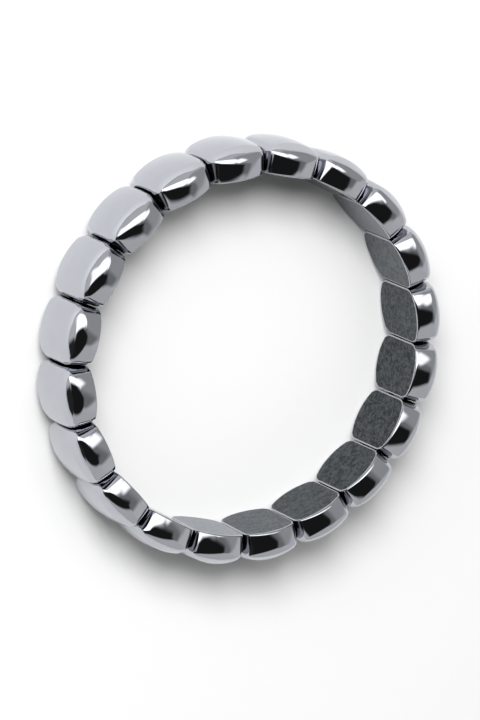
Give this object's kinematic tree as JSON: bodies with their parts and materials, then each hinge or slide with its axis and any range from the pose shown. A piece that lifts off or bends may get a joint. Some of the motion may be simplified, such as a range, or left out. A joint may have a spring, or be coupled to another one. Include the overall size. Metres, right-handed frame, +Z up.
{
  "type": "stone bracelet",
  "caption": "Stretch bracelet of polished dark metallic stone beads: bulged barrel outline, domed outer face, flat inner face, strung edge to edge on hidden elastic.",
  "frame": {"origin": "centre of the loop, on the surface that the bracelet lies on", "axes": "+Z up along the loop's axis, +X outwards through the middle of bead_01, +Y through bead_06"},
  "size_m": [0.0656, 0.0656, 0.0124],
  "materials": {
    "hematite": "mirror polished",
    "elastic": "matte"
  },
  "bodies": {
    "root": {"bead_01": "hematite", "bead_02": "hematite", "bead_03": "hematite", "bead_04": "hematite", "bead_05": "hematite", "bead_06": "hematite", "bead_07": "hematite", "bead_08": "hematite", "bead_09": "hematite", "bead_10": "hematite", "bead_11": "hematite", "bead_12": "hematite", "bead_13": "hematite", "bead_14": "hematite", "bead_15": "hematite", "bead_16": "hematite", "bead_17": "hematite", "bead_18": "hematite", "bead_19": "hematite", "bead_20": "hematite", "elastic_upper": "elastic", "elastic_lower": "elastic"}
  },
  "joints": []
}
